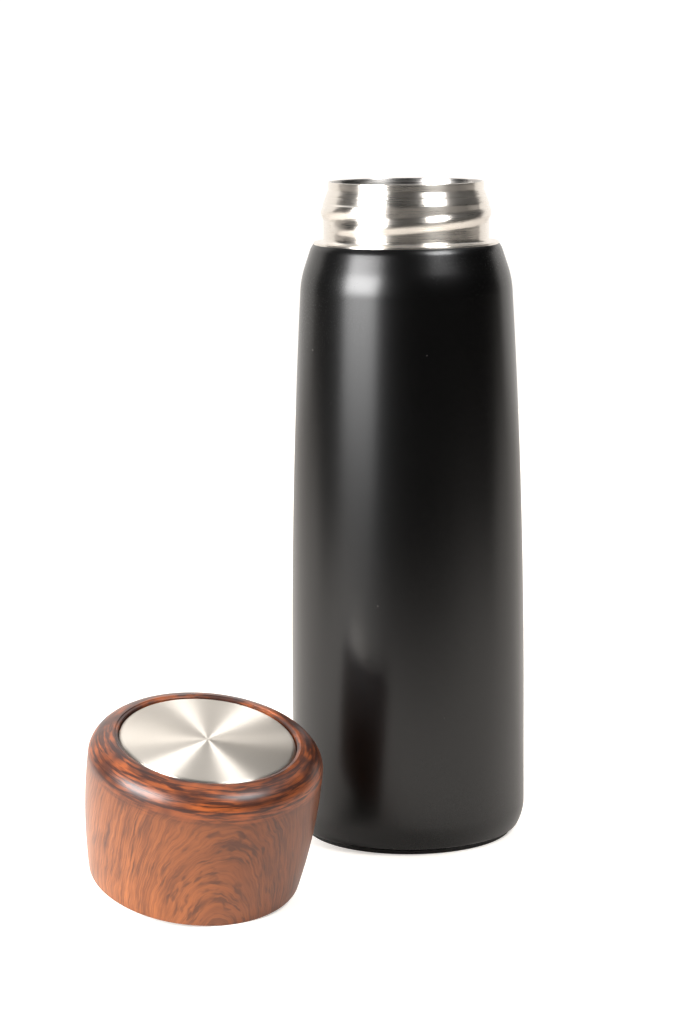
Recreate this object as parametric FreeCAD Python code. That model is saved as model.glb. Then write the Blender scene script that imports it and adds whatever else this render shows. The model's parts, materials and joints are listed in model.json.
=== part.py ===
"""Double-wall vacuum flask with a screw-on insulated lid, lid off and lying beside it.

Frame: millimetres, +Z up, origin on the flask's axis at the plane it stands on.
The lid is drawn upright about its own rim centre, then placed where it lies.
"""

import FreeCAD
import Part
import math
import os

# ---------------------------------------------------------------- flask body
BODY_R = 35.0            # widest radius of the painted shell
STRAIGHT_TOP_Z = 35.0    # the wall is straight up to here, then leans in
TAPER_RADIUS = 2275.0    # radius of the long, slow curve of the wall
SHOULDER_R = 31.4
SHOULDER_Z = 163.0
SHOULDER_BEND = 28.0     # radius of the bend into the shoulder cone
CONE_R = 30.06
CONE_Z = 170.5
CREST_R = 28.43           # where the shoulder cone starts to roll in to the neck
CREST_Z = 175.4
CREST_BEND = 6.2
SHELL_TOP_R = 27.4
SHELL_TOP_Z = 177.3
CORNER_Z = 9.0           # top of the rounded bottom corner
CORNER_RADIUS = 14.0
CORNER_END_R = 33.1
CORNER_END_Z = 2.3
UNDERSIDE_R = 32.3
UNDERSIDE_Z = 1.8        # underside of the painted shell
UNDERSIDE_BEND = 1.0
SHELL_WALL = 0.6
SHELL_LIP_R = 25.6       # inner edge of the shell's turned-in top lip
CURL_R = 27.5            # inner edge of the shell's turned-in bottom curl

# ---------------------------------------------------------------- vacuum liner
VESSEL_OFFSET = 3.0      # painted surface to the outside of the inner vessel
VESSEL_WALL = 0.5
VESSEL_JOIN_Z = 16.0     # where the vessel's bottom cup is butt-welded on
VESSEL_FLOOR_Z = 8.5
VESSEL_CORNER = 6.0
VESSEL_DOME = 1.5
VESSEL_SHOULDER_Z = 161.0
VESSEL_SHOULDER_BEND = 13.0
NECK_TURN_BEND = 2.4     # bend between the vessel's shoulder and its straight neck
NECK_TURN_OUT = 1.6
NECK_TURN_DOWN = 2.2
NECK_BORE_R = 21.95
NECK_BORE_Z = 174.0      # lowest level of the straight bore
FOIL_GAP = 0.2
FOIL_T = 0.1
FOIL_Z = (18.0, 158.0)

# ---------------------------------------------------------------- threaded neck
LIP_Z = 195.5
LIP_R = 22.85
LIP_BASE_Z = 193.3
LIP_CHAMFER = 0.2
CREASE_R = 23.6
CREASE_Z = 191.4
THREAD_ROOT_R = 24.4
THREAD_TOP_Z = 189.2
NECK_WALL = 0.6
FLANGE_R = 27.3
FLANGE_FILLET = 1.2
THREAD_LEAD = 10.4
THREAD_STARTS = 2
THREAD_HEIGHT = 0.68
THREAD_HALF_WIDTH = 2.1
THREAD_START_Z = 182.0
THREAD_START_ANGLE = -152.0
THREAD_SPAN = 225.0
THREAD_FADE = 28.0       # degrees over which a ridge runs out at each end
THREAD_STEP = 7.5        # degrees from one cross-section of a ridge to the next
THREAD_END_WIDTH = 0.6   # width of a ridge where it starts, as a share of its full width
THREAD_END_SINK = 0.6    # how far it starts below the wall, as a share of its buried depth

# ---------------------------------------------------------------- base
FOOT_R = 31.0
FOOT_T = 1.2
FOOT_CHAMFER = 0.3
TAPE_T = 0.15
TAPE_R = 29.4
COVER_R = 30.6
CLOSURE_R = 31.2
CLOSURE_RISE = 1.6
CLOSURE_FLAT_R = 22.0
HOLE_R = 1.5
BEAD_FLARE = 0.8         # how far the glass spreads past the hole
BEAD_DEPTH = 0.7
GETTER_R = 5.0
GETTER_T = 1.6
GETTER_TOP_Z = 9.8
STRAP_T = 0.3
STRAP_W = 4.0
STRAP_GAP = 0.3          # between the pellet's rim and the strap
STRAP_EAR = 3.0          # length of each welded ear
STRAP_EAR_Z = 9.4

# ---------------------------------------------------------------- lid
LID_RIM_R = 29.5
LID_RIM_ROUND = 0.65
LID_R = 32.45
LID_WIDEST_Z = 31.2
LID_CROWN_Z = 34.9
LID_H = 42.0
LID_CROWN_A = 7.85       # radial reach of the crown's rounding
LID_WALL = 1.8
LID_INNER_BEND = 7.0     # bend between the side wall and the top web, inside
LID_INNER_Z = 33.9
RECESS_R = 24.6
RECESS_LEDGE_R = 25.3
RECESS_EDGE_R = 25.6
RECESS_LEDGE_Z = 41.6
RECESS_STEP = 0.12       # fine step in the wood round the disc
RECESS_FLOOR_Z = 39.2
LID_TOP_WEB_Z = 37.2
DISC_R = 24.35
DISC_TOP_Z = 41.55
DISC_T = 0.5
DISC_EDGE = 1.2
DISC_GAP = 0.3           # free space under and inside the disc's rolled edge
RIB_COUNT = 12
RIB_W = 1.2
RIB_IN_R = 27.3
RIB_Z = (2.4, 33.0)
LINER_BORE_R = 25.35
LINER_R = 26.9
LINER_RIM_R = 27.7
LINER_RIM_H = 1.6
LINER_RIM_CHAMFER = 0.4
FIN_REACH = 0.7          # fins stand out from the skirt and lock beside the ribs
FIN_BURY = 0.2
FIN_GAP = 0.2
LINER_WEB_Z = (19.3, 21.1)
SKIRT_Z = 0.6
KEEPER_R = (20.6, 21.3)  # ring under the web that holds the gasket from inside
KEEPER_Z = 17.7
FEMALE_HEIGHT = 0.7
FEMALE_HALF_WIDTH = 1.0
FEMALE_DROP = 2.1        # lid ridge below the neck ridge when the lid is closed
FEMALE_SPAN = 150.0
FEMALE_BURY = 0.4
GASKET_R = (21.4, 25.2)
GASKET_Z = (17.1, 19.2)
GASKET_CHAMFER = 0.3
PLUG_R = 19.0
PLUG_WALL = 1.6
PLUG_DOME_R = 24.0       # radius of the stopper's domed underside
PLUG_FLANGE_R = 20.5
PLUG_FLANGE_T = 1.4
FOAM_R = 26.8
FOAM_CHAMFER = 3.0
FOAM_GAP = 0.1           # free space round a foam piece
SEAT_Z = 178.4           # height of the lid's rim when it is screwed home

# The lid lies on the table on its dome and the edge of its rim.
LID_PLACE = (-60.0, -71.6)
LID_LEAN = (0.1228, -0.2368)     # x and y of the unit vector along the lid's axis

Z = FreeCAD.Vector(0, 0, 1)
ORIGIN = FreeCAD.Vector(0, 0, 0)


def point(r, z):
    """A point of an outline, at radius r and height z."""
    return FreeCAD.Vector(r, 0, z)


def line(a, b):
    return Part.LineSegment(point(*a), point(*b)).toShape()


def arc(a, b, radius, side=1):
    """The shorter arc from a to b. It bulges to the right of a-to-b when side is 1."""
    (ar, az), (br, bz) = a, b
    chord = math.hypot(br - ar, bz - az)
    rise = radius - math.sqrt(radius**2 - chord**2 / 4)
    middle = ((ar + br) / 2 + side * rise * (bz - az) / chord,
              (az + bz) / 2 - side * rise * (br - ar) / chord)
    return Part.Arc(point(*a), point(*middle), point(*b)).toShape()


def polyline(points):
    return [line(a, b) for a, b in zip(points, points[1:])]


def revolve(edges):
    """The solid swept by a closed outline about the Z axis."""
    face = Part.Face(Part.Wire(Part.__sortEdges__(edges)))
    solid = face.revolve(ORIGIN, Z, 360)
    if solid.Volume < 0:
        solid.reverse()
    return solid


def ring(r_in, r_out, z0, z1):
    """A plain ring, or a disc when r_in is 0."""
    points = [(r_in, z0), (r_out, z0), (r_out, z1), (r_in, z1), (r_in, z0)]
    return revolve(polyline(points))


def around(shape, count, first=0.0):
    """Copies of a shape, evenly turned about Z."""
    copies = []
    for i in range(count):
        copy = shape.copy()
        copy.rotate(ORIGIN, Z, first + 360.0 * i / count)
        copies.append(copy)
    return copies


def taper_r(z):
    """Radius of the painted shell between the straight wall and the shoulder."""
    rise = max(0.0, z - STRAIGHT_TOP_Z)
    return BODY_R - TAPER_RADIUS + math.sqrt(TAPER_RADIUS**2 - rise**2)


# ---------------------------------------------------------------- thread ridges
def ridge_section(angle, z, root, height, half_width, bury):
    """Closed cross-section of a thread ridge, in the radial plane at an angle."""
    low = point(root - bury, z - half_width)
    top = point(root + height, z)
    high = point(root - bury, z + half_width)
    wire = Part.Wire([Part.Arc(low, top, high).toShape(),
                      Part.LineSegment(high, low).toShape()])
    wire.rotate(ORIGIN, Z, angle)
    return wire


def ridge(root, height, half_width, bury, z0, angle0, span):
    """One rolled thread ridge that rises out of the wall and runs out again."""
    count = int(span / THREAD_STEP)
    wires = []
    for i in range(count + 1):
        along = i * span / count
        fade = min(1.0, along / THREAD_FADE, (span - along) / THREAD_FADE)
        swell = 0.5 - 0.5 * math.cos(math.pi * fade)
        low = -THREAD_END_SINK * bury
        wires.append(ridge_section(angle0 + along, z0 + THREAD_LEAD * along / 360,
                                   root, low + (height - low) * swell,
                                   half_width * (THREAD_END_WIDTH + (1 - THREAD_END_WIDTH) * swell),
                                   bury))
    return Part.makeLoft(wires, True, False)


# ---------------------------------------------------------------- flask pieces
def outer_shell():
    top = (SHELL_TOP_R, SHELL_TOP_Z)
    crest = (CREST_R, CREST_Z)
    w = SHELL_WALL
    outside = [
        line((CURL_R, UNDERSIDE_Z), (UNDERSIDE_R, UNDERSIDE_Z)),
        arc((UNDERSIDE_R, UNDERSIDE_Z), (CORNER_END_R, CORNER_END_Z), UNDERSIDE_BEND),
        arc((CORNER_END_R, CORNER_END_Z), (BODY_R, CORNER_Z), CORNER_RADIUS),
        line((BODY_R, CORNER_Z), (BODY_R, STRAIGHT_TOP_Z)),
        arc((BODY_R, STRAIGHT_TOP_Z), (SHOULDER_R, SHOULDER_Z), TAPER_RADIUS),
        arc((SHOULDER_R, SHOULDER_Z), (CONE_R, CONE_Z), SHOULDER_BEND),
        line((CONE_R, CONE_Z), crest),
        arc(crest, top, CREST_BEND),
        line(top, (SHELL_LIP_R, SHELL_TOP_Z)),
    ]
    inside = [
        line((SHELL_LIP_R, SHELL_TOP_Z), (SHELL_LIP_R, SHELL_TOP_Z - w)),
        line((SHELL_LIP_R, SHELL_TOP_Z - w), (SHELL_TOP_R - w / 2, SHELL_TOP_Z - w)),
        line((SHELL_TOP_R - w / 2, SHELL_TOP_Z - w), (CREST_R - w, CREST_Z)),
        line((CREST_R - w, CREST_Z), (CONE_R - w, CONE_Z)),
        arc((CONE_R - w, CONE_Z), (SHOULDER_R - w, SHOULDER_Z), SHOULDER_BEND, -1),
        arc((SHOULDER_R - w, SHOULDER_Z), (BODY_R - w, STRAIGHT_TOP_Z), TAPER_RADIUS, -1),
        line((BODY_R - w, STRAIGHT_TOP_Z), (BODY_R - w, CORNER_Z)),
        arc((BODY_R - w, CORNER_Z), (CORNER_END_R - w, UNDERSIDE_Z + w), CORNER_RADIUS, -1),
        line((CORNER_END_R - w, UNDERSIDE_Z + w), (CURL_R, UNDERSIDE_Z + w)),
        line((CURL_R, UNDERSIDE_Z + w), (CURL_R, UNDERSIDE_Z)),
    ]
    return revolve(outside + inside)


def neck_sleeve():
    """Bare threaded neck: a thin sleeve with a flange that sits on the shell's lip."""
    w = NECK_WALL
    flange_top = SHELL_TOP_Z + w
    root_z = flange_top + FLANGE_FILLET
    inner_r = NECK_BORE_R + VESSEL_WALL
    outline = [
        line((FLANGE_R, SHELL_TOP_Z), (FLANGE_R, flange_top)),
        line((FLANGE_R, flange_top), (THREAD_ROOT_R + FLANGE_FILLET, flange_top)),
        arc((THREAD_ROOT_R + FLANGE_FILLET, flange_top), (THREAD_ROOT_R, root_z),
            FLANGE_FILLET, -1),
        line((THREAD_ROOT_R, root_z), (THREAD_ROOT_R, THREAD_TOP_Z)),
    ] + polyline([
        (THREAD_ROOT_R, THREAD_TOP_Z), (CREASE_R, CREASE_Z), (LIP_R, LIP_BASE_Z),
        (LIP_R, LIP_Z - LIP_CHAMFER), (LIP_R - LIP_CHAMFER, LIP_Z), (inner_r, LIP_Z),
        (inner_r, LIP_BASE_Z - w / 2), (THREAD_ROOT_R - w, THREAD_TOP_Z - w),
        (THREAD_ROOT_R - w, SHELL_TOP_Z), (FLANGE_R, SHELL_TOP_Z)])
    sleeve = revolve(outline)
    one = ridge(THREAD_ROOT_R, THREAD_HEIGHT, THREAD_HALF_WIDTH, NECK_WALL / 2,
                THREAD_START_Z, THREAD_START_ANGLE, THREAD_SPAN)
    for copy in around(one, THREAD_STARTS):
        sleeve = sleeve.fuse(copy)
    return sleeve


def inner_vessel():
    """Steel bottle inside the vacuum, open at the bottom where its cup is welded."""
    def wall(offset, inset, lip_z):
        foot = (BODY_R - offset, VESSEL_JOIN_Z)
        straight = (BODY_R - offset, STRAIGHT_TOP_Z)
        shoulder = (taper_r(VESSEL_SHOULDER_Z) - offset, VESSEL_SHOULDER_Z)
        turn = (NECK_BORE_R + inset + NECK_TURN_OUT, NECK_BORE_Z - NECK_TURN_DOWN)
        neck = (NECK_BORE_R + inset, NECK_BORE_Z - 2 * inset)
        rise = straight[0] - shoulder[0]
        run = shoulder[1] - straight[1]
        radius = (run**2 + rise**2) / (2 * rise)
        return [line(foot, straight),
                arc(straight, shoulder, radius),
                arc(shoulder, turn, VESSEL_SHOULDER_BEND),
                arc(turn, neck, NECK_TURN_BEND, -1),
                line(neck, (NECK_BORE_R + inset, lip_z))]
    outside = wall(VESSEL_OFFSET, VESSEL_WALL, LIP_Z)
    inside = wall(VESSEL_OFFSET + VESSEL_WALL, 0.0, LIP_Z)
    ends = [line((BODY_R - VESSEL_OFFSET - VESSEL_WALL, VESSEL_JOIN_Z),
                 (BODY_R - VESSEL_OFFSET, VESSEL_JOIN_Z)),
            line((NECK_BORE_R + VESSEL_WALL, LIP_Z), (NECK_BORE_R, LIP_Z))]
    return revolve(outside + inside + ends)


def inner_base():
    """Bottom cup of the inner vessel, slightly domed upwards."""
    def skin(offset, floor):
        r = BODY_R - offset
        corner_r = r - VESSEL_CORNER
        bend = VESSEL_CORNER
        dome = (corner_r**2 + VESSEL_DOME**2) / (2 * VESSEL_DOME)
        return [arc((0, floor + VESSEL_DOME), (corner_r, floor), dome, -1),
                arc((corner_r, floor), (r, floor + bend), bend),
                line((r, floor + bend), (r, VESSEL_JOIN_Z))]
    w = VESSEL_WALL
    ends = [line((0, VESSEL_FLOOR_Z + VESSEL_DOME), (0, VESSEL_FLOOR_Z + VESSEL_DOME + w)),
            line((BODY_R - VESSEL_OFFSET - w, VESSEL_JOIN_Z),
                 (BODY_R - VESSEL_OFFSET, VESSEL_JOIN_Z))]
    return revolve(skin(VESSEL_OFFSET, VESSEL_FLOOR_Z)
                   + skin(VESSEL_OFFSET + w, VESSEL_FLOOR_Z + w) + ends)


def radiation_foil():
    """Copper foil wrapped round the vessel, in the vacuum."""
    near = VESSEL_OFFSET - FOIL_GAP
    far = near - FOIL_T
    z0, z1 = FOIL_Z
    sides = []
    for offset in (near, far):
        low = (BODY_R - offset, z0)
        straight = (BODY_R - offset, STRAIGHT_TOP_Z)
        high = (taper_r(z1) - offset, z1)
        sides += [line(low, straight), arc(straight, high, TAPER_RADIUS)]
    ends = [line((BODY_R - near, z0), (BODY_R - far, z0)),
            line((taper_r(z1) - near, z1), (taper_r(z1) - far, z1))]
    return revolve(sides + ends)


def outer_base():
    """Dished plate that closes the vacuum, with the hole it was pumped out through."""
    z = UNDERSIDE_Z + SHELL_WALL
    w = SHELL_WALL
    top = z + CLOSURE_RISE
    return revolve(polyline([
        (HOLE_R, top), (CLOSURE_FLAT_R - 2, top), (CLOSURE_FLAT_R, z), (CLOSURE_R, z),
        (CLOSURE_R, z + w), (CLOSURE_FLAT_R + w, z + w), (CLOSURE_FLAT_R + w - 2, top + w),
        (HOLE_R, top + w), (HOLE_R, top)]))


def vacuum_seal():
    """Bead of sealing glass melted into the pump-out hole."""
    z = UNDERSIDE_Z + SHELL_WALL + CLOSURE_RISE
    flare = HOLE_R + BEAD_FLARE
    depth = BEAD_DEPTH
    edges = [line((0, z + SHELL_WALL), (HOLE_R, z + SHELL_WALL)),
             line((HOLE_R, z + SHELL_WALL), (HOLE_R, z)),
             line((HOLE_R, z), (flare, z)),
             arc((flare, z), (0, z - depth), (flare**2 + depth**2) / (2 * depth), -1),
             line((0, z - depth), (0, z + SHELL_WALL))]
    return revolve(edges)


def getter_pill():
    """Gas-absorbing pellet held under the vessel's floor."""
    return ring(0, GETTER_R, GETTER_TOP_Z - GETTER_T, GETTER_TOP_Z)


def getter_strap():
    """Spot-welded steel strap that carries the pellet."""
    low = GETTER_TOP_Z - GETTER_T
    up = STRAP_EAR_Z
    half = GETTER_R + STRAP_GAP
    foot = half + STRAP_EAR
    w = STRAP_T
    path = [(-foot, up), (-foot, up - w), (-half - w, up - w), (-half - w, low - w),
            (half + w, low - w), (half + w, up - w), (foot, up - w), (foot, up),
            (half, up), (half, low), (-half, low), (-half, up), (-foot, up)]
    face = Part.Face(Part.Wire(polyline(path)))
    strap = face.extrude(FreeCAD.Vector(0, STRAP_W, 0))
    strap.translate(FreeCAD.Vector(0, -STRAP_W / 2, 0))
    return strap


def base_cover():
    """Pressed steel cover under the shell, hiding the sealing point."""
    z = FOOT_T + TAPE_T
    return ring(0, COVER_R, z, UNDERSIDE_Z)


def foot_tape():
    return ring(0, TAPE_R, FOOT_T, FOOT_T + TAPE_T)


def foot_pad():
    """Silicone pad that the flask stands on."""
    return revolve(polyline([
        (0, 0), (FOOT_R - FOOT_CHAMFER, 0), (FOOT_R, FOOT_CHAMFER), (FOOT_R, FOOT_T), (0, FOOT_T), (0, 0)]))


# ---------------------------------------------------------------- lid pieces
def lid_side_r(z):
    """Outer radius of the lid below its widest level."""
    share = (LID_WIDEST_Z - z) / (LID_WIDEST_Z - LID_RIM_ROUND)
    return LID_R - (LID_R - LID_RIM_R) * share**2


def cap_shell():
    w = LID_WALL
    drop = LID_R - LID_RIM_R
    run = LID_WIDEST_Z - LID_RIM_ROUND
    side_radius = (run**2 + drop**2) / (2 * drop)
    crown_b = LID_H - LID_CROWN_Z
    centre_r = LID_R - LID_CROWN_A
    end = math.acos((RECESS_EDGE_R - centre_r) / LID_CROWN_A)
    crown_end = (RECESS_EDGE_R, LID_CROWN_Z + crown_b * math.sin(end))
    crown_half = (centre_r + LID_CROWN_A * math.cos(end / 2),
                  LID_CROWN_Z + crown_b * math.sin(end / 2))
    rim_in = lid_side_r(LID_RIM_ROUND) - w
    outside = [
        arc((LID_RIM_R - LID_RIM_ROUND, 0), (LID_RIM_R, LID_RIM_ROUND), LID_RIM_ROUND),
        arc((LID_RIM_R, LID_RIM_ROUND), (LID_R, LID_WIDEST_Z), side_radius),
        line((LID_R, LID_WIDEST_Z), (LID_R, LID_CROWN_Z)),
        Part.Arc(point(LID_R, LID_CROWN_Z), point(*crown_half), point(*crown_end)).toShape(),
    ]
    rest = polyline([
        crown_end, (RECESS_LEDGE_R, RECESS_LEDGE_Z + RECESS_STEP),
        (RECESS_LEDGE_R, RECESS_LEDGE_Z), (RECESS_R, RECESS_LEDGE_Z - RECESS_STEP),
        (RECESS_R, RECESS_FLOOR_Z), (0, RECESS_FLOOR_Z),
        (0, LID_TOP_WEB_Z), (RECESS_R, LID_TOP_WEB_Z)])
    inner_top = (LID_R - w, LID_INNER_Z)
    inside = [
        arc((RECESS_R, LID_TOP_WEB_Z), inner_top, LID_INNER_BEND, -1),
        line(inner_top, (LID_R - w, LID_WIDEST_Z)),
        arc((LID_R - w, LID_WIDEST_Z), (rim_in, LID_RIM_ROUND), side_radius, -1),
        line((rim_in, LID_RIM_ROUND), (rim_in, 0)),
        line((rim_in, 0), (LID_RIM_R - LID_RIM_ROUND, 0)),
    ]
    shell = revolve(outside + rest + inside)
    low_z, high_z = RIB_Z
    buried = [(lid_side_r(low_z + (LID_WIDEST_Z - low_z) * i / 4) - w / 2,
               low_z + (LID_WIDEST_Z - low_z) * i / 4) for i in range(5)]
    rib_face = Part.Face(Part.Wire(polyline(
        [(RIB_IN_R, low_z)] + buried
        + [(LID_R - w / 2, high_z), (RIB_IN_R, high_z), (RIB_IN_R, low_z)])))
    rib = rib_face.extrude(FreeCAD.Vector(0, RIB_W, 0))
    rib.translate(FreeCAD.Vector(0, -RIB_W / 2, 0))
    for copy in around(rib, RIB_COUNT):
        shell = shell.fuse(copy)
    return shell.removeSplitter()


def top_disc():
    """Brushed steel pan with a rolled edge, pressed into the lid's recess."""
    t = DISC_T
    skirt_z = RECESS_FLOOR_Z + DISC_GAP
    r = DISC_R
    e = DISC_EDGE
    z = DISC_TOP_Z
    edges = [
        line((0, z), (r - e, z)),
        arc((r - e, z), (r, z - e), e, -1),
        line((r, z - e), (r, skirt_z)),
        line((r, skirt_z), (r - t, skirt_z)),
        line((r - t, skirt_z), (r - t, z - e)),
        arc((r - t, z - e), (r - e, z - t), e - t),
        line((r - e, z - t), (0, z - t)),
        line((0, z - t), (0, z)),
    ]
    return revolve(edges)


def disc_pad():
    """Adhesive foam pad under the steel disc."""
    return ring(0, DISC_R - DISC_EDGE - DISC_GAP, RECESS_FLOOR_Z, DISC_TOP_Z - DISC_T)


def cap_liner():
    """Moulded insert: threaded skirt, web and the fins that key it to the shell."""
    z_low, z_high = LINER_WEB_Z
    k_in, k_out = KEEPER_R
    edge = LINER_RIM_CHAMFER
    shelf_z = SKIRT_Z + LINER_RIM_H
    body = revolve(polyline([
        (0, z_low), (k_in, z_low), (k_in, KEEPER_Z), (k_out, KEEPER_Z), (k_out, z_low),
        (LINER_BORE_R, z_low), (LINER_BORE_R, SKIRT_Z), (LINER_RIM_R - edge, SKIRT_Z),
        (LINER_RIM_R, SKIRT_Z + edge), (LINER_RIM_R, shelf_z), (LINER_R, shelf_z),
        (LINER_R, z_high), (0, z_high), (0, z_low)]))
    fin = Part.makeBox(FIN_REACH + FIN_BURY, RIB_W, z_high - shelf_z,
                       FreeCAD.Vector(LINER_R - FIN_BURY, -RIB_W / 2, shelf_z))
    beside = math.degrees((RIB_W + FIN_GAP) / RIB_IN_R)
    for copy in around(fin, RIB_COUNT, beside):
        body = body.fuse(copy)
    z0 = THREAD_START_Z - SEAT_Z - FEMALE_DROP + THREAD_LEAD * THREAD_FADE / 360
    one = ridge(LINER_BORE_R, -FEMALE_HEIGHT, FEMALE_HALF_WIDTH, -FEMALE_BURY,
                z0, THREAD_START_ANGLE + THREAD_FADE, FEMALE_SPAN)
    for copy in around(one, THREAD_STARTS):
        body = body.fuse(copy)
    return body


def cap_foam():
    """Insulating block between the liner's web and the lid's top."""
    low = LINER_WEB_Z[1] + FOAM_GAP
    high = LID_TOP_WEB_Z - FOAM_GAP
    return revolve(polyline([
        (0, low), (FOAM_R, low), (FOAM_R, high - FOAM_CHAMFER), (FOAM_R - FOAM_CHAMFER, high),
        (0, high), (0, low)]))


def lean_angle():
    return math.asin(math.hypot(*LID_LEAN))


def rest_height():
    """Height of the rim's centre when the rim's rounded edge touches the table."""
    lean = lean_angle()
    return (LID_RIM_ROUND + (LID_RIM_R - LID_RIM_ROUND) * math.sin(lean)
            - LID_RIM_ROUND * math.cos(lean))


def dome_centre_z():
    """Height above the rim of the dome's centre, so that the dome touches too."""
    return (PLUG_DOME_R - rest_height()) / math.cos(lean_angle())


def stopper_plug():
    """Hollow domed stopper that reaches into the neck when the lid is closed."""
    centre = dome_centre_z()
    w = PLUG_WALL
    top = LINER_WEB_Z[0]
    reach = centre - math.sqrt(PLUG_DOME_R**2 - PLUG_R**2)
    inner_r = PLUG_R - w
    inner_reach = centre - math.sqrt((PLUG_DOME_R - w)**2 - inner_r**2)
    edges = [
        arc((0, centre - PLUG_DOME_R), (PLUG_R, reach), PLUG_DOME_R),
        line((PLUG_R, reach), (PLUG_R, top - PLUG_FLANGE_T)),
        line((PLUG_R, top - PLUG_FLANGE_T), (PLUG_FLANGE_R, top - PLUG_FLANGE_T)),
        line((PLUG_FLANGE_R, top - PLUG_FLANGE_T), (PLUG_FLANGE_R, top)),
        line((PLUG_FLANGE_R, top), (inner_r, top)),
        line((inner_r, top), (inner_r, inner_reach)),
        arc((inner_r, inner_reach), (0, centre - PLUG_DOME_R + w), PLUG_DOME_R - w, -1),
        line((0, centre - PLUG_DOME_R + w), (0, centre - PLUG_DOME_R)),
    ]
    return revolve(edges)


def plug_foam():
    """Insulating core of the stopper."""
    gap = FOAM_GAP
    centre = dome_centre_z()
    dome = PLUG_DOME_R - PLUG_WALL - gap
    r = PLUG_R - PLUG_WALL - gap
    top = LINER_WEB_Z[0] - gap
    reach = centre - math.sqrt(dome**2 - r**2)
    edges = [arc((0, centre - dome), (r, reach), dome),
             line((r, reach), (r, top)), line((r, top), (0, top)),
             line((0, top), (0, centre - dome))]
    return revolve(edges)


def seal_gasket():
    """Silicone ring that the flask's lip presses on."""
    r0, r1 = GASKET_R
    z0, z1 = GASKET_Z
    soft = GASKET_CHAMFER
    return revolve(polyline([
        (r0 + soft, z0), (r1 - soft, z0), (r1, z0 + soft), (r1, z1), (r0, z1),
        (r0, z0 + soft), (r0 + soft, z0)]))


def place_lid(shape):
    """Moves a lid piece from its own upright frame to where the lid lies."""
    ax, ay = LID_LEAN
    axis = FreeCAD.Vector(ax, ay, math.sqrt(1 - ax**2 - ay**2))
    placed = shape.copy()
    placed.rotate(ORIGIN, Z.cross(axis), math.degrees(lean_angle()))
    placed.translate(FreeCAD.Vector(LID_PLACE[0], LID_PLACE[1], rest_height()))
    return placed


FLASK = [outer_shell, neck_sleeve, inner_vessel, inner_base, radiation_foil, outer_base,
         vacuum_seal, getter_pill, getter_strap, base_cover, foot_tape, foot_pad]
LID = [cap_shell, top_disc, disc_pad, cap_liner, cap_foam, stopper_plug, plug_foam,
       seal_gasket]


def write(name, shape):
    if not shape.isValid() or not shape.Solids:
        raise ValueError(name + " is not a valid solid")
    Part.makeCompound(shape.Solids).exportStep("parts/" + name + ".step")
    print(name, len(shape.Solids), "solid,", round(shape.Volume / 1000.0, 3), "cm3")


os.makedirs("parts", exist_ok=True)
for make in FLASK:
    write(make.__name__, make())
for make in LID:
    write(make.__name__, place_lid(make()))
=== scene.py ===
"""Looks of a double-wall vacuum flask: black powder coat, bare threaded neck, wood-grain lid beside it."""

import json
import math

import bmesh
import bpy
from mathutils import Matrix, Vector


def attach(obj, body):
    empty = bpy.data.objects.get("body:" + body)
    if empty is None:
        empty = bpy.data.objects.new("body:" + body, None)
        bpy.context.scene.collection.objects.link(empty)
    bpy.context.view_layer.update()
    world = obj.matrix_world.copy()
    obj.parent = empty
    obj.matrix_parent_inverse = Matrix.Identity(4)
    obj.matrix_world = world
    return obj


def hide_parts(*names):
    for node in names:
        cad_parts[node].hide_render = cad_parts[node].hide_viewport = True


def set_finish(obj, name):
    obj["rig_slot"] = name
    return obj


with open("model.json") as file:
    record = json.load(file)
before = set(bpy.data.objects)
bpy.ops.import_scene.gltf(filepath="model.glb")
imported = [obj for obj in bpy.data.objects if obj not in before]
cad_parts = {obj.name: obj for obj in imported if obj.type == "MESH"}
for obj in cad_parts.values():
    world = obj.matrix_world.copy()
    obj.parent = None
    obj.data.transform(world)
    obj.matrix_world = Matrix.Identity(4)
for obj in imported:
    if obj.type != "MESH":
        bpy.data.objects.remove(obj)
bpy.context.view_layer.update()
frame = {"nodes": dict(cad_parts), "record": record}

MM = 0.001


# ------------------------------------------------------------------ outlines: (radius, height) in mm
def line(a, b, n=1):
    """Points from a towards b, without b."""
    return [(a[0] + (b[0] - a[0]) * i / n, a[1] + (b[1] - a[1]) * i / n) for i in range(n)]


def arc(a, b, radius, side=1, n=12):
    """Points of the shorter arc from a to b, without b. It bulges right of a-to-b when side is 1."""
    ax, az = a
    bx, bz = b
    chord = math.hypot(bx - ax, bz - az)
    nx, nz = side * (bz - az) / chord, -side * (bx - ax) / chord
    depth = math.sqrt(max(radius**2 - chord**2 / 4, 0.0))
    cx, cz = (ax + bx) / 2 - nx * depth, (az + bz) / 2 - nz * depth
    start = math.atan2(az - cz, ax - cx)
    turn = math.atan2(bz - cz, bx - cx) - start
    turn = (turn + math.pi) % (2 * math.pi) - math.pi
    return [(cx + radius * math.cos(start + turn * i / n),
             cz + radius * math.sin(start + turn * i / n)) for i in range(n)]


def inward(point, by):
    return (point[0] - by, point[1])


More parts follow.
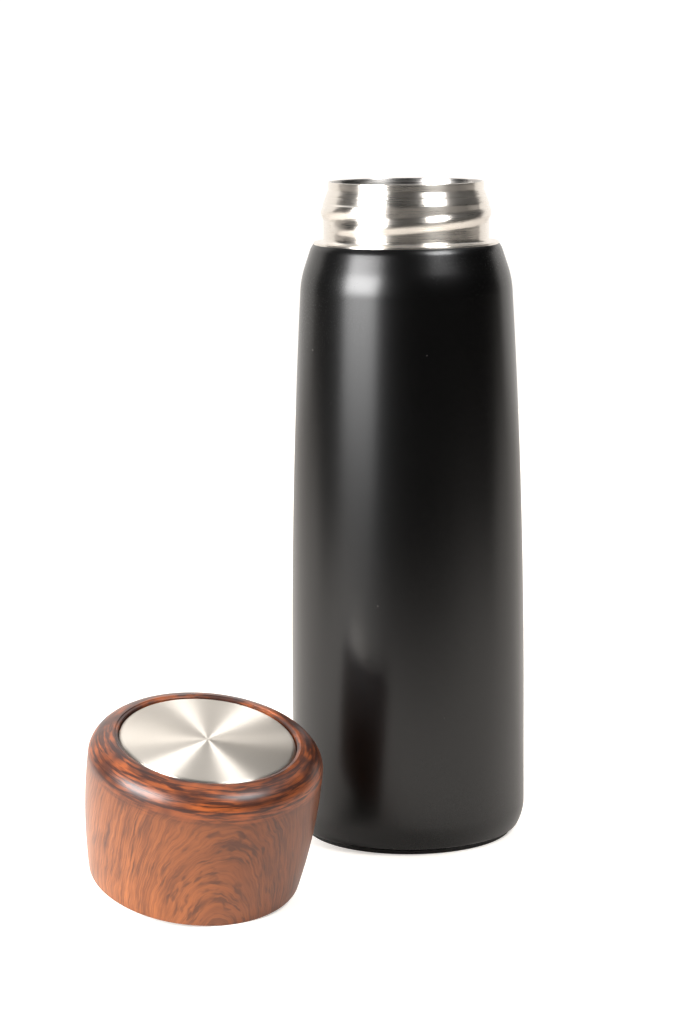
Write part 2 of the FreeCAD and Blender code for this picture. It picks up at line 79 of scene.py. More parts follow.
def lathe(name, body, slot, outline, node, place=Matrix(), shape=None, segments=192, sharp=35.0):
    """A turned piece from a closed outline, with u running round it and v along the outline.

    The shape, if given, is a function of radius, height and angle that says the radius there.
    """
    rings = []
    mesh = bmesh.new()
    length = [0.0]
    for a, b in zip(outline, outline[1:]):
        length.append(length[-1] + math.dist(a, b))
    total = length[-1]
    for r, z in outline:
        if r < 1e-6:
            rings.append([mesh.verts.new((0.0, 0.0, z))] * segments)
            continue
        ring = []
        for i in range(segments):
            t = 2 * math.pi * i / segments
            out = shape(r, z, t) if shape else r
            ring.append(mesh.verts.new((out * math.cos(t), out * math.sin(t), z)))
        rings.append(ring)
    uv = mesh.loops.layers.uv.new("turned")
    for a in range(len(rings)):
        b = (a + 1) % len(rings)
        va, vb = length[a] / total, length[b] / total if b else 1.0
        for i in range(segments):
            j = (i + 1) % segments
            corners = [(rings[a][i], i, va), (rings[a][j], i + 1, va),
                       (rings[b][j], i + 1, vb), (rings[b][i], i, vb)]
            used = []
            for corner in corners:
                if corner[0] not in [other[0] for other in used]:
                    used.append(corner)
            if len(used) < 3:
                continue
            face = mesh.faces.new([vert for vert, _, _ in used])
            face.smooth = True
            for loop, (_, u, v) in zip(face.loops, used):
                loop[uv].uv = (u / segments, v)
    bmesh.ops.recalc_face_normals(mesh, faces=mesh.faces)
    if mesh.calc_volume(signed=True) < 0:
        bmesh.ops.reverse_faces(mesh, faces=mesh.faces)
    data = bpy.data.meshes.new(name)
    mesh.to_mesh(data)
    mesh.free()
    data.transform(Matrix.Scale(MM, 4) @ place)
    data.set_sharp_from_angle(angle=math.radians(sharp))
    obj = bpy.data.objects.new(name, data)
    bpy.context.scene.collection.objects.link(obj)
    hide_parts(node)
    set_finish(obj, slot)
    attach(obj, body)
    return obj


# ------------------------------------------------------------------ flask
BODY_R = 34.99                              # the painted wall's lower, straight part
STRAIGHT_Z = 35.0
TAPER = 2275.0                              # radius of the arc that narrows the wall above it
SHOULDER_Z = 163.0                          # top of the taper
NECK_Z = 177.3                              # where the bare neck comes out of the shell
LIP_Z = 195.49


def shell_outline():
    w, curl_r, curl_z = 0.6, 27.5, 1.8
    corner, side, straight = (33.1, 2.3), (BODY_R, 9.0), (BODY_R, STRAIGHT_Z)
    shoulder, cone, crest = (31.4, SHOULDER_Z), (30.06, 170.5), (28.43, 175.4)
    top, hole_r = (27.4, NECK_Z), 25.6
    out = line((curl_r, curl_z), (32.3, curl_z), 3)
    out += arc((32.3, curl_z), corner, 1.0, n=4)
    out += arc(corner, side, 14.0, n=12)
    out += line(side, straight, 8)
    out += arc(straight, shoulder, TAPER, n=48)
    out += arc(shoulder, cone, 28.0, n=10)
    out += line(cone, crest, 4)
    out += arc(crest, top, 6.2, n=8)
    out += [top, (hole_r, NECK_Z), (hole_r, NECK_Z - w), (27.1, NECK_Z - w), inward(crest, w)]
    out += arc(inward(cone, w), inward(shoulder, w), 28.0, -1, 6)
    out += arc(inward(shoulder, w), inward(straight, w), TAPER, -1, 16)
    out += line(inward(straight, w), inward(side, w))
    out += arc(inward(side, w), (corner[0] - w, curl_z + w), 14.0, -1, 6)
    return out + [(corner[0] - w, curl_z + w), (curl_r, curl_z + w)]


ROOT_R = 24.4                               # the neck's outside between its ridges
THREAD_LOW, THREAD_HIGH = 179.2, 189.2
LEAD = 10.4
RIDGE_TURN = 225.0                          # degrees round the neck that each ridge runs
RIDGE_FADE = 28.0                           # degrees over which its ends run out
RIDGE_Z = 182.0                             # where each ridge starts
RIDGE_RISE = 0.70
RIDGE_HALF = 2.1                            # half of its width
RIDGE_SKIRT = 1.15                          # its side runs out at this many half-widths


def thread(r, z, t):
    """Radius of the neck's outside with its two rolled ridges."""
    if r < ROOT_R - 0.05 or not THREAD_LOW < z < THREAD_HIGH:
        return r
    best = 0.0
    for start in (-152.0, 28.0):
        along = (math.degrees(t) - start) % 360.0
        if along > RIDGE_TURN:
            continue
        fade = min(1.0, along / RIDGE_FADE, (RIDGE_TURN - along) / RIDGE_FADE)
        swell = 0.5 - 0.5 * math.cos(math.pi * fade)
        half = RIDGE_HALF * (0.6 + 0.4 * swell)
        off = (z - (RIDGE_Z + LEAD * along / 360.0)) / half
        if abs(off) < RIDGE_SKIRT:
            bell = 0.5 + 0.5 * math.cos(math.pi * off / RIDGE_SKIRT)
            best = max(best, RIDGE_RISE * swell * bell**0.8)
    return r + best


def neck_outline():
    hole_r, flange, flange_z = 25.6, 27.3, 177.9
    step, upper, lip_r, lip_round = (23.56, 191.55), (22.85, 193.45), 22.85, 0.18
    inside, bore_r = 23.8, 22.45
    out = line((hole_r, NECK_Z), (flange, NECK_Z), 2) + [(flange, NECK_Z)]
    out += arc((flange, flange_z - 0.15), (flange - 0.15, flange_z), 0.15, n=3)
    out += line((flange - 0.15, flange_z), (hole_r, flange_z), 3)
    out += arc((hole_r, flange_z), (ROOT_R, 179.1), 1.2, -1, 8)
    out += line((ROOT_R, 179.1), (ROOT_R, THREAD_HIGH), 64)
    out += line((ROOT_R, THREAD_HIGH), (23.66, 191.2), 5)
    out += arc((23.66, 191.2), step, 0.6, -1, 4)
    out += line(step, (22.87, 193.25), 4)
    out += arc((22.87, 193.25), upper, 0.6, -1, 2)
    out += line(upper, (lip_r, LIP_Z - lip_round), 3)
    out += arc((lip_r, LIP_Z - lip_round), (lip_r - lip_round, LIP_Z), lip_round, n=4)
    out += [(lip_r - lip_round, LIP_Z)] + line((bore_r, LIP_Z), (bore_r, 193.0), 3)
    out += line((bore_r, 193.0), (inside, 188.6), 3)
    return out + line((inside, 188.6), (inside, NECK_Z), 4) + [(inside, NECK_Z)]


WALL_R = 35.0                               # the painted wall, which the inner one follows at a gap
GAP = 3.0
VESSEL_WALL = 0.5
VESSEL_SEAM_Z = 16.0                        # the weld between the bottle and its bottom cup


def vessel_outline():
    bore, lip_z = 21.95, 195.3
    top_z = SHOULDER_Z - 2.0
    run = top_z - STRAIGHT_Z
    top_r = BODY_R - TAPER + math.sqrt(TAPER**2 - run**2)

    def wall(offset, inset):
        foot, straight = (WALL_R - offset, VESSEL_SEAM_Z), (WALL_R - offset, STRAIGHT_Z)
        shoulder = (top_r - offset, top_z)
        turn = (bore + inset + 1.6, 171.8)
        neck = (bore + inset, 174.0 - 2 * inset)
        narrowing = straight[0] - shoulder[0]
        out = line(foot, straight, 2)
        out += arc(straight, shoulder, (run**2 + narrowing**2) / (2 * narrowing), n=16)
        out += arc(shoulder, turn, 13.0, n=12)
        out += arc(turn, neck, 2.4, -1, 8)
        return out + line(neck, (bore + inset, lip_z), 4) + [(bore + inset, lip_z)]

    outer, inner = wall(GAP, VESSEL_WALL), wall(GAP + VESSEL_WALL, 0.0)
    lip = arc((bore + VESSEL_WALL, lip_z), (bore, lip_z), 0.26, n=6)
    return outer[:-1] + lip + inner[::-1]


def vessel_base_outline():
    floor_z, corner, dish = 8.5, 6.0, 1.5

    def skin(offset, floor):
        r = WALL_R - offset
        flat = r - corner
        dome = (flat**2 + dish**2) / (2 * dish)
        out = arc((0.0, floor + dish), (flat, floor), dome, -1, 14)
        out += arc((flat, floor), (r, floor + corner), corner, n=10)
        return out + [(r, floor + corner), (r, VESSEL_SEAM_Z)]

    return skin(GAP, floor_z) + skin(GAP + VESSEL_WALL, floor_z + VESSEL_WALL)[::-1]


def foot_outline():
    r, high, low_round, top_round = 31.0, 1.2, 0.3, 0.1
    out = [(0.0, 0.0)] + line((10.0, 0.0), (r - low_round, 0.0), 3)
    out += arc((r - low_round, 0.0), (r, low_round), low_round, n=4)
    out += line((r, low_round), (r, high - top_round), 2)
    return out + arc((r, high - top_round), (r - top_round, high), top_round, n=2) + [
        (r - top_round, high), (0.0, high)]


# ------------------------------------------------------------------ lid, upright about its own rim
RIM_R, RIM_ROUND = 29.5, 0.65
LID_R = 32.4                                # widest, at WIDEST_Z above the rim
WIDEST_Z = 31.2
SIDE_DROP = LID_R - RIM_R
CROWN_Z = 34.9                              # above this the crown is nearly a quarter of an ellipse
CROWN_OUT, CROWN_UP = 7.84, 7.1
DISC_R = 24.35                              # the spun disc, in a recess that is a little wider
RECESS_R = 24.6

# The lid leans on its rim and on its stopper's dome: its axis, and where its rim's middle is.
LID_LEAN = (0.1228, -0.2368)
LID_UP = Vector((*LID_LEAN, math.sqrt(1 - LID_LEAN[0]**2 - LID_LEAN[1]**2)))
LID_ANGLE = math.asin(math.hypot(*LID_LEAN))
LID_AT = Vector((-60.0, -71.6, RIM_ROUND + (RIM_R - RIM_ROUND) * math.sin(LID_ANGLE)
                 - RIM_ROUND * math.cos(LID_ANGLE)))
LID_TURN = Matrix.Rotation(LID_ANGLE, 4, Vector((0, 0, 1)).cross(LID_UP))
LID_PLACE = Matrix.Translation(LID_AT) @ LID_TURN


def side_arc(inset, z_low, n):
    """The lid's bowed side wall from a low level up to its widest level."""
    out = []
    for i in range(n + 1):
        z = z_low + (WIDEST_Z - z_low) * i / n
        share = (WIDEST_Z - z) / (WIDEST_Z - RIM_ROUND)
        out.append((LID_R - inset - SIDE_DROP * share**2, z))
    return out


def cap_outline():
    w, crown_steps, floor_z = 1.8, 24, 39.2
    centre = LID_R - CROWN_OUT
    end = math.acos((25.6 - centre) / CROWN_OUT)
    out = [(28.2, 0.0)] + arc((RIM_R - RIM_ROUND, 0.0), (RIM_R, RIM_ROUND), RIM_ROUND, n=5)
    out += side_arc(0.0, RIM_ROUND, 24)
    for i in range(crown_steps + 1):
        t = end * i / crown_steps
        out.append((centre + CROWN_OUT * math.cos(t), CROWN_Z + CROWN_UP * math.sin(t)))
    # Over the crown's end, down a small bevel and into the disc's recess.
    out += [(25.52, out[-1][1] - 0.05), (25.42, 41.74), (25.3, 41.7), (24.9, 41.62), (24.72, 41.56),
            (24.62, 41.44), (RECESS_R, 41.2), (RECESS_R, floor_z), (12.0, floor_z), (0.0, floor_z)]
    out += [(0.0, floor_z - 2.0), (12.0, floor_z - 2.0)]
    out += arc((RECESS_R, floor_z - 2.0), (LID_R - w, 33.9), 7.0, -1, 8) + [(LID_R - w, 33.9)]
    return out + side_arc(w, 1.2, 12)[::-1] + [(27.9, 0.4), (28.0, 0.05)]


def disc_outline():
    edge, top_z, low_z, w = 1.2, 41.55, 39.5, 0.5
    flat = DISC_R - edge
    out = line((0.0, top_z), (flat, top_z), 14)
    out += arc((flat, top_z), (DISC_R, top_z - edge), edge, -1, 10)
    out += [(DISC_R, top_z - edge), (DISC_R, low_z), (DISC_R - w, low_z)]
    out += arc((DISC_R - w, top_z - edge), (flat, top_z - w), edge - w, n=5)
    return out + [(flat, top_z - w), (0.0, top_z - w)]


def plug_outline():
    r, w, dome, seat_z = 19.0, 1.6, 24.0, 17.9
    centre = (dome - LID_AT.z) / math.cos(LID_ANGLE)
    low, inner_low = centre - dome, centre - dome + w
    reach = centre - math.sqrt(dome**2 - r**2)
    inner = centre - math.sqrt((dome - w)**2 - (r - w)**2)
    out = arc((0.0, low), (r, reach), dome, n=24) + line((r, reach), (r, seat_z), 4)
    out += [(r, seat_z), (20.5, seat_z), (20.5, 19.3)]
    out += line((r - w, 19.3), (r - w, inner), 2)
    return out + arc((r - w, inner), (0.0, inner_low), dome - w, -1, 16) + [(0.0, inner_low)]


def gasket_outline():
    inner_r, outer_r, low_z, high_z, edge = 21.4, 25.2, 17.1, 19.2, 0.3
    out = [(inner_r, high_z)]
    out += arc((inner_r, low_z + edge), (inner_r + edge, low_z), edge, n=4)
    out += line((inner_r + edge, low_z), (outer_r - edge, low_z), 2)
    return out + arc((outer_r - edge, low_z), (outer_r, low_z + edge), edge, n=4) + [
        (outer_r, low_z + edge), (outer_r, high_z)]


shell = lathe("shell_coat", "flask", "black_powder_coat", shell_outline(), "outer_shell")
neck = lathe("neck_threads", "flask", "neck_steel", neck_outline(), "neck_sleeve", shape=thread,
             segments=288, sharp=50.0)
vessel = lathe("vessel_wall", "flask", "inner_steel", vessel_outline(), "inner_vessel", sharp=50.0)
vessel_base = lathe("vessel_floor", "flask", "inner_steel", vessel_base_outline(), "inner_base")
foot = lathe("foot_ring", "flask", "foot_silicone", foot_outline(), "foot_pad")
cap = lathe("lid_body", "cap", "wood_print", cap_outline(), "cap_shell", LID_PLACE, segments=224)
disc = lathe("lid_disc", "cap", "spun_steel", disc_outline(), "top_disc", LID_PLACE, segments=224)
plug = lathe("lid_stopper", "cap", "liner_plastic", plug_outline(), "stopper_plug", LID_PLACE)
gasket = lathe("lid_seal", "seal", "clear_silicone", gasket_outline(), "seal_gasket", LID_PLACE)


# ------------------------------------------------------------------ materials
GRAIN_SIDE = 0.27                           # sine of the angle from the lid's front to the arches' middle
DISC_SLOPE = 0.09                           # fall of the spun disc from its middle to its edge


class Graph:
    """One material and short spellings for building its nodes."""

    def __init__(self, name):
        self.material = bpy.data.materials.new(name)
        self.material.use_nodes = True
        self.tree = self.material.node_tree
        self.tree.nodes.clear()
        out = self.node("ShaderNodeOutputMaterial")
        self.bsdf = self.node("ShaderNodeBsdfPrincipled")
        self.join(self.bsdf.outputs[0], out.inputs[0])

    def node(self, kind, **settings):
        made = self.tree.nodes.new(kind)
        for key, value in settings.items():
            setattr(made, key, value)
        return made

    def join(self, source, target):
        self.tree.links.new(source, target)

    def put(self, socket, value):
        if isinstance(value, bpy.types.NodeSocket):
            self.join(value, socket)
        else:
            socket.default_value = value

    def set(self, **values):
        """Gives the shader's sockets a number, a colour or another node's output."""
        for key, value in values.items():
            self.put(self.bsdf.inputs[key.replace("_", " ")], value)

    def math(self, operation, a, b=0.0):
        made = self.node("ShaderNodeMath", operation=operation)
        self.put(made.inputs[0], a)
        self.put(made.inputs[1], b)
        return made.outputs[0]

    def split(self, where):
        made = self.node("ShaderNodeSeparateXYZ")
        self.join(where, made.inputs[0])
        return made.outputs

    def place(self, lid=False):
        """Where a point is, in metres, in the flask's frame or upright in the lid's own."""
        here = self.node("ShaderNodeTexCoord").outputs["Object"]
        if not lid:
            return here
        upright = self.node("ShaderNodeMapping", vector_type="TEXTURE")
        upright.inputs["Location"].default_value = LID_AT * MM
        upright.inputs["Rotation"].default_value = LID_TURN.to_euler()
        self.join(here, upright.inputs["Vector"])
        return upright.outputs[0]

    def round(self, where, turns=1.0, height=1.0, reach=0.0):
        """Coordinates that run round the axis, and up it plus outwards by the last two factors."""
        x, y, z = self.split(where)
        flat = self.math("SQRT", self.math("ADD", self.math("MULTIPLY", x, x),
                                           self.math("MULTIPLY", y, y)))
        off_axis = self.math("MAXIMUM", flat, 1e-5)
        rise = self.math("ADD", self.math("MULTIPLY", z, height), self.math("MULTIPLY", flat, reach))
        both = self.node("ShaderNodeCombineXYZ")
        self.join(self.math("MULTIPLY", self.math("DIVIDE", x, off_axis), turns), both.inputs[0])
        self.join(self.math("MULTIPLY", self.math("DIVIDE", y, off_axis), turns), both.inputs[1])
        self.join(rise, both.inputs[2])
        return both.outputs[0]

    def noise(self, where, scale=1.0, detail=3.0, rough=0.5, distortion=0.0, also=None):
        """Noise over a place, and over a fourth coordinate if one is given."""
        made = self.node("ShaderNodeTexNoise", noise_dimensions="4D" if also else "3D")
        self.join(where, made.inputs["Vector"])
        if also:
            self.join(also, made.inputs["W"])
        made.inputs["Scale"].default_value = scale
        made.inputs["Detail"].default_value = detail
        made.inputs["Roughness"].default_value = rough
        made.inputs["Distortion"].default_value = distortion
        return made.outputs["Fac"]

    def span(self, value, low, high, to_low=0.0, to_high=1.0):
        """Maps low..high to to_low..to_high and holds it there outside that."""
        made = self.node("ShaderNodeMapRange")
        made.inputs["From Min"].default_value = low
        made.inputs["From Max"].default_value = high
        made.inputs["To Min"].default_value = to_low
        made.inputs["To Max"].default_value = to_high
        self.join(value, made.inputs["Value"])
        return made.outputs[0]

    def mix(self, amount, a, b):
        """A colour between two, each of them three numbers or another node's output."""
        made = self.node("ShaderNodeMix", data_type="RGBA")
        self.put(made.inputs[0], amount)
        for socket, value in ((made.inputs[6], a), (made.inputs[7], b)):
            self.put(socket, value if isinstance(value, bpy.types.NodeSocket) else (*value, 1.0))
        return made.outputs[2]

    def bump(self, height, strength, distance):
        made = self.node("ShaderNodeBump")
        made.inputs["Strength"].default_value = strength
        made.inputs["Distance"].default_value = distance
        self.join(height, made.inputs["Height"])
        self.join(made.outputs[0], self.bsdf.inputs["Normal"])

    def along(self):
        """Brushing that runs round a turned piece."""
        made = self.node("ShaderNodeTangent", direction_type="UV_MAP", uv_map="turned")
        self.join(made.outputs[0], self.bsdf.inputs["Tangent"])


def powder_coat():
    """Deep black satin paint with a fine grain, a cloudy gloss and a rare pale speck."""
    g = Graph("black powder coat")
    here = g.place()
    grain = g.noise(here, 2600.0, 2.0, 0.6)
    cloud = g.noise(here, 14.0, 3.0, 0.5)
    speck = g.span(g.noise(here, 620.0, 1.0, 0.4), 0.82, 0.85)
    tone = g.mix(g.span(cloud, 0.3, 0.7), (0.0003, 0.0003, 0.0003), (0.0005, 0.00045, 0.00045))
    gloss = g.math("ADD", g.span(cloud, 0.3, 0.7, 0.248, 0.270), g.span(grain, 0.3, 0.7, -0.008, 0.012))
    g.set(Base_Color=g.mix(speck, tone, (0.06, 0.055, 0.05)), Roughness=gloss, Specular_IOR_Level=0.45)
    g.bump(grain, 0.05, 0.00003)
    return g.material


def turned_steel(name, tint, low, high, line_scale, spread=0.10, anisotropy=0.6, lid=False, reach=0.0,
                 bump=0.12, cone=0.0):
    """Metal worked on a lathe: fine lines round the axis that draw the gloss out across them.

    The gloss lies between low and high, spread is how much darker the lines are, and cone is a slope
    away from the axis that only the shading has.
    """
    g = Graph(name)
    here = g.place(lid)
    lines = g.noise(g.round(here, 1.2, line_scale, reach), 1.0, 4.0, 0.7)
    cloud = g.noise(here, 60.0, 3.0)
    darker = tuple(c * (1 - spread) for c in tint)
    gloss = g.math("ADD", g.span(lines, 0.3, 0.7, low, high), g.span(cloud, 0.3, 0.7, -0.02, 0.03))
    g.set(Base_Color=g.mix(lines, darker, tint), Metallic=1.0, Roughness=gloss, Anisotropic=anisotropy,
          Anisotropic_Rotation=0.25)
    g.along()
    relief = g.math("MULTIPLY", lines, 0.00002 * bump)
    if cone:
        outwards = g.split(g.round(here, 0.0, 0.0, 1.0))[2]
        relief = g.math("SUBTRACT", relief, g.math("MULTIPLY", outwards, cone))
    g.bump(relief, 1.0, 1.0)
    return g.material


def wood_print():
    """Printed wood grain: fibres that follow growth rings arched over the lid's near side, on a ground
    with painted light at the lid's left and painted shade at its right, which faces the flask.
    """
    g = Graph("wood grain print with painted shade")
    here = g.place(lid=True)
    x, _, z = g.split(here)
    round_x, round_y, _ = g.split(g.round(here))

    # The rings' distance from a middle below the rim, taken round the lid so that there is no seam.
    facing = g.math("SUBTRACT", g.math("MULTIPLY", round_x, GRAIN_SIDE),
                    g.math("MULTIPLY", round_y, math.sqrt(1 - GRAIN_SIDE**2)))
    across = g.math("MULTIPLY", g.math("SUBTRACT", 1.0, facing), 2 * (LID_R * MM)**2)
    rise = g.math("MULTIPLY", g.math("ADD", z, 0.011), 0.42)
    ring = g.math("SQRT", g.math("ADD", across, g.math("MULTIPLY", rise, rise)))
    for scale, reach in ((32.0, 0.0022), (130.0, 0.00055), (600.0, 0.00012)):
        wobble = g.noise(here, scale, 1.0, 0.5)
        ring = g.math("ADD", ring, g.span(wobble, 0.2, 0.8, -reach, reach))

    def fibres(pitch, round_it, up_it, detail, rough):
        """Noise drawn out along the rings: pitch is how many to the metre across them."""
        return g.noise(g.round(here, round_it, up_it), 1.0, detail, rough,
                       also=g.math("MULTIPLY", ring, pitch))

    broad = fibres(480.0, 1.5, 36.0, 2.0, 0.5)
    streak = fibres(1350.0, 3.6, 100.0, 2.0, 0.6)
    dash = fibres(950.0, 7.0, 170.0, 1.5, 0.5)
    hair = fibres(3100.0, 3.0, 80.0, 3.0, 0.65)
    patch = g.noise(here, 75.0, 2.0, 0.55)

    # The ground: paler at the lid's left and darker at its right, which faces the flask, as painted light
    # and shade over the print's own tone; darker too towards its top and along broad bands and fine
    # fibres.
    brown, umber = (0.11, 0.030, 0.010), (0.075, 0.021, 0.009)
    # Painted light and shade: pale where the left lamp falls, dark on the side that faces the flask.
    ground = g.mix(g.span(x, -0.030, 0.026), (0.345, 0.113, 0.035), (0.240, 0.066, 0.0155))
    ground = g.mix(g.math("MULTIPLY", g.span(z, 0.004, 0.032), 0.52), ground, brown)
    ground = g.mix(g.span(broad, 0.34, 0.60, 0.36, 0.0), ground, brown)
    fine = g.math("MULTIPLY", g.span(hair, 0.42, 0.60, 0.0, 0.64), g.span(ring, 0.008, 0.024, 0.25, 1.0))
    ground = g.mix(fine, ground, umber)

    # Dark streaks in patches, and short dashes near the arches' middle.
    dark = g.math("MULTIPLY", g.span(streak, 0.48, 0.64), g.span(patch, 0.34, 0.58))
    near = g.math("MULTIPLY", g.span(ring, 0.032, 0.018), g.span(patch, 0.32, 0.50))
    dark = g.math("MAXIMUM", dark, g.math("MULTIPLY", g.span(dash, 0.56, 0.66, 0.0, 0.9), near))
    side = g.mix(g.math("MULTIPLY", dark, 0.68), ground, (0.036, 0.012, 0.008))

    # Over the crown the print is stretched round the lid, redder and darker.
    drawn = g.noise(g.round(here, 2.8, 900.0, -900.0), 1.0, 3.5, 0.6, distortion=0.35)
    cloud = g.noise(g.round(here, 3.0, 130.0, -130.0), 1.0, 2.0, 0.5)
    crown = g.mix(g.span(cloud, 0.36, 0.62), (0.060, 0.016, 0.007), (0.28, 0.067, 0.015))
    crown = g.mix(g.span(drawn, 0.43, 0.57, 0.0, 0.90), crown, (0.022, 0.006, 0.004))

    g.set(Base_Color=g.mix(g.span(z, 0.0320, 0.0360), side, crown),
          Roughness=g.span(hair, 0.3, 0.7, 0.40, 0.50), Specular_IOR_Level=0.2, Coat_Weight=0.55,
          Coat_Roughness=0.3)
    g.bump(g.noise(here, 900.0, 2.0), 0.05, 0.00004)
    return g.material


def plain(name, first, second, scale, low, high, bump=0.1, depth=0.00005, lid=False, **single):
    """A worked surface with two tones of one colour, gloss between low and high, and a fine relief."""
    g = Graph(name)
    here = g.place(lid)
    tone = g.noise(here, scale, 4.0, 0.6)
    fine = g.noise(here, scale * 6.0, 2.0, 0.6)
    g.set(Base_Color=g.mix(g.span(tone, 0.3, 0.7), first, second),
          Roughness=g.span(fine, 0.3, 0.7, low, high), **single)
    g.bump(fine, bump, depth)
    return g.material


def give(obj, made):
    obj.data.materials.clear()
    obj.data.materials.append(made)


MATERIALS = {
    "black_powder_coat": powder_coat(),
    "neck_steel": turned_steel("brushed neck steel", (0.84, 0.79, 0.725), 0.25, 0.32, 5200.0, 0.15, 0.88,
                               bump=0.35),
    "inner_steel": turned_steel("drawn inner steel", (0.50, 0.48, 0.46), 0.22, 0.34, 2600.0, 0.2),
    "spun_steel": turned_steel("spun disc steel", (0.70, 0.65, 0.585), 0.36, 0.44, 0.0, 0.14, 0.95,
                               lid=True, reach=9000.0, bump=0.05, cone=DISC_SLOPE),
    "plate_steel": plain("pickled plate steel", (0.42, 0.41, 0.40), (0.56, 0.55, 0.53), 160.0, 0.3, 0.42,
                         Metallic=1.0),
    "copper_foil": plain("copper foil", (0.62, 0.27, 0.14), (0.78, 0.40, 0.24), 90.0, 0.18, 0.34,
                         Metallic=1.0, bump=0.3, depth=0.0001),
    "seal_glass": plain("sealing glass", (0.10, 0.13, 0.12), (0.16, 0.20, 0.18), 400.0, 0.05, 0.12,
                        Coat_Weight=0.5),
    "getter_alloy": plain("sintered getter", (0.12, 0.12, 0.125), (0.20, 0.20, 0.21), 900.0, 0.6, 0.8,
                          Metallic=0.6, bump=0.4),
    "foot_silicone": plain("black silicone", (0.010, 0.010, 0.010), (0.020, 0.019, 0.018), 300.0,
                           0.55, 0.7, bump=0.25),
    "adhesive": plain("adhesive pad", (0.70, 0.69, 0.64), (0.82, 0.81, 0.77), 500.0, 0.6, 0.8),
    "wood_print": wood_print(),
    "liner_plastic": plain("moulded liner plastic", (0.016, 0.016, 0.017), (0.028, 0.027, 0.027), 220.0,
                           0.34, 0.46, lid=True),
    "insulating_foam": plain("insulating foam", (0.80, 0.77, 0.66), (0.93, 0.91, 0.83), 700.0, 0.8, 0.95,
                             bump=0.6, depth=0.0003),
    "clear_silicone": plain("milky silicone", (0.66, 0.66, 0.63), (0.78, 0.77, 0.74), 260.0, 0.35, 0.48,
                            Subsurface_Weight=0.2, Subsurface_Scale=0.002),
}
for row in frame["record"]["subparts"]:
    node = frame["nodes"][row["node"]]
    if not node.hide_render:
        give(node, MATERIALS[row["material_slot"]])
for piece in (shell, neck, vessel, vessel_base, foot, cap, disc, plug, gasket):
    give(piece, MATERIALS[piece["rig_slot"]])


# ------------------------------------------------------------------ studio, in metres
WARM = (1.0, 0.965, 0.925)
MIDDLE = (0.0, 0.0, 0.1)                    # of the flask
FLOOR_SIDE, FLOOR_BACK = 3.0, 1.0
BACKDROP_Y = 1.5                            # behind every camera that looks from the back


def sheet(name, corners, made):
    """A flat piece of the stage."""
    data = bpy.data.meshes.new(name)
    data.from_pydata(corners, [], [tuple(range(len(corners)))])
    data.materials.append(made)
    obj = bpy.data.objects.new(name, data)
    bpy.context.scene.collection.objects.link(obj)


def matt(g, colour):
    """A dull surface, whose glow is warm where it has one."""
    g.set(Base_Color=colour, Roughness=0.9, Specular_IOR_Level=0.0, Emission_Color=(*WARM, 1))


def floor_paper():
    """A pale floor with a painted pool of light round the flask, so that it darkens towards the front and
    the sides, and that the camera sees as white.
    """
    g = Graph("floor")
    x, y, _ = g.split(g.place())
    front = g.span(y, -0.52, -0.15)
    widening = g.math("MULTIPLY", g.math("MAXIMUM", y, 0.0), 2.5)
    beside = g.math("SUBTRACT", g.math("ABSOLUTE", x), widening)
    # Painted light: the floor's colour and glow follow a pool of light that fades away from the flask.
    lit = g.math("MULTIPLY", front, g.span(beside, 0.75, 0.40))
    matt(g, g.mix(lit, (0.012, 0.012, 0.012), (0.82, 0.775, 0.73)))
    seen = g.node("ShaderNodeLightPath").outputs["Is Camera Ray"]
    whitening = g.math("MULTIPLY", seen, g.span(lit, 0.0, 1.0, 0.95, 0.52))
    g.set(Emission_Strength=g.math("ADD", g.math("MULTIPLY", lit, 0.04), whitening))
    return g.material


def backdrop_light():
    """Black cloth with nothing but its glow."""
    g = Graph("backdrop")
    matt(g, (0.0, 0.0, 0.0, 1))
    g.set(Emission_Strength=1.15)
    return g.material


def panel(name, centre, target, width, height, power):
    """A soft box that faces a target."""
    lamp = bpy.data.lights.new(name, "AREA")
    lamp.shape = "RECTANGLE"
    lamp.size, lamp.size_y = width, height
    lamp.energy = power
    obj = bpy.data.objects.new(name, lamp)
    bpy.context.scene.collection.objects.link(obj)
    obj.location = centre
    obj.rotation_mode = "QUATERNION"
    obj.rotation_quaternion = (Vector(target) - Vector(centre)).to_track_quat("-Z", "Y")


def around(azimuth, elevation, distance):
    """A place seen from the flask's middle, at an angle right of the front and one above level."""
    a, e = math.radians(azimuth), math.radians(elevation)
    way = Vector((math.sin(a) * math.cos(e), -math.cos(a) * math.cos(e), math.sin(e)))
    return Vector(MIDDLE) + distance * way


sheet("floor", [(-FLOOR_SIDE, -FLOOR_SIDE, 0), (FLOOR_SIDE, -FLOOR_SIDE, 0), (FLOOR_SIDE, FLOOR_BACK, 0),
                (-FLOOR_SIDE, FLOOR_BACK, 0)], floor_paper())

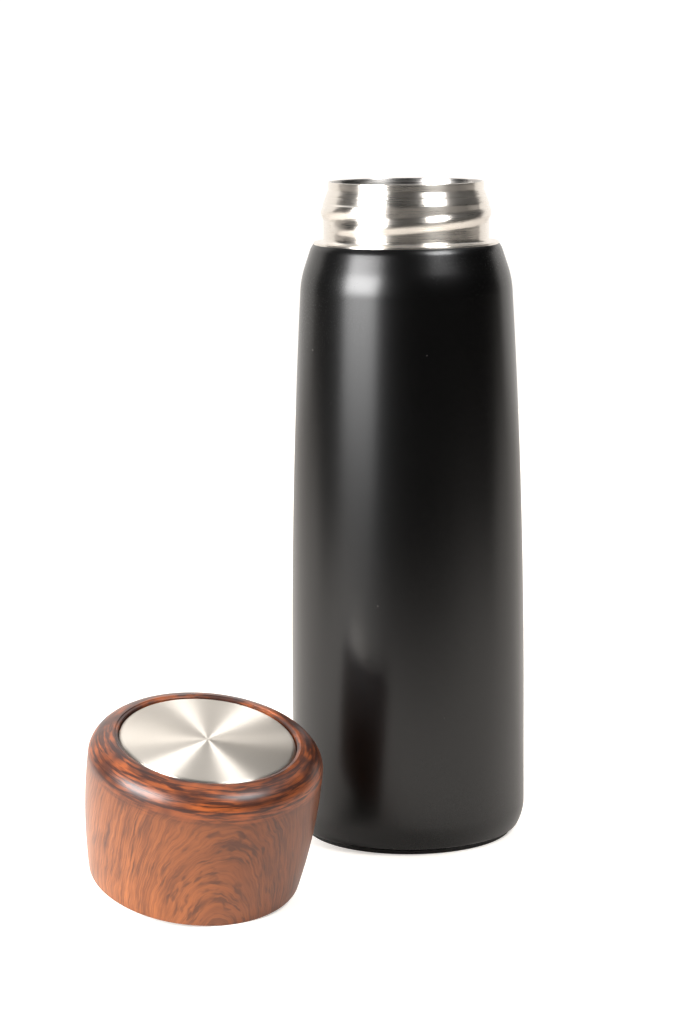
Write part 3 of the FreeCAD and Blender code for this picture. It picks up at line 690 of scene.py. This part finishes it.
# The backdrop reaches below the floor, and is cut lower at its right so that the body stays dark there.
LEFT, CUT, RIGHT = -3.0, 0.93, 2.4
BOTTOM, STEP, TOP = -0.3, 0.775, 2.2
sheet("backdrop", [(x, BACKDROP_Y, z) for x, z in ((LEFT, BOTTOM), (RIGHT, BOTTOM), (RIGHT, STEP),
                                                   (CUT, STEP), (CUT, TOP), (LEFT, TOP))],
      backdrop_light())

panel("left box core", around(-50.5, 21.5, 1.0), MIDDLE, 0.64, 0.44, 17.2)
panel("left box", around(-50.5, 13.5, 1.02), MIDDLE, 0.69, 0.53, 7.4)
panel("right box", around(49, 47, 1.1), MIDDLE, 0.44, 0.32, 9.0)
panel("top box", (0.0, 0.45, 1.30), (0, 0.2, 0), 2.4, 1.8, 12.0)

# The world is white to the camera and nearly dark to everything else.
world = bpy.data.worlds.new("studio")
world.use_nodes = True
sky = world.node_tree
seen = sky.nodes.new("ShaderNodeLightPath")
strength = sky.nodes.new("ShaderNodeMapRange")
strength.inputs["To Min"].default_value = 0.02
strength.inputs["To Max"].default_value = 1.02
sky.links.new(seen.outputs["Is Camera Ray"], strength.inputs["Value"])
sky.links.new(strength.outputs[0], sky.nodes["Background"].inputs["Strength"])
sky.nodes["Background"].inputs["Color"].default_value = (1.0, 1.0, 1.0, 1)
bpy.context.scene.world = world

# ------------------------------------------------------------------ camera
CAMERA_AT = Vector((0.0, -0.8177, 0.2327))
YAW, PITCH, ROLL = math.radians(1.382), math.radians(9.413), math.radians(-0.478)
forward = Vector((-math.sin(YAW) * math.cos(PITCH), math.cos(YAW) * math.cos(PITCH), -math.sin(PITCH)))
level_right = Vector((math.cos(YAW), math.sin(YAW), 0.0))
level_up = level_right.cross(forward)
right = level_right * math.cos(ROLL) + level_up * math.sin(ROLL)
up = level_up * math.cos(ROLL) - level_right * math.sin(ROLL)

lens = bpy.data.cameras.new("camera")
lens.lens = 97.28
lens.sensor_width = 36.0
camera = bpy.data.objects.new("camera", lens)
bpy.context.scene.collection.objects.link(camera)
camera.matrix_world = Matrix.Translation(CAMERA_AT) @ Matrix((right, up, -forward)).transposed().to_4x4()
bpy.context.scene.camera = camera
bpy.context.scene.view_settings.view_transform = "Standard"
bpy.context.scene.view_settings.look = "None"
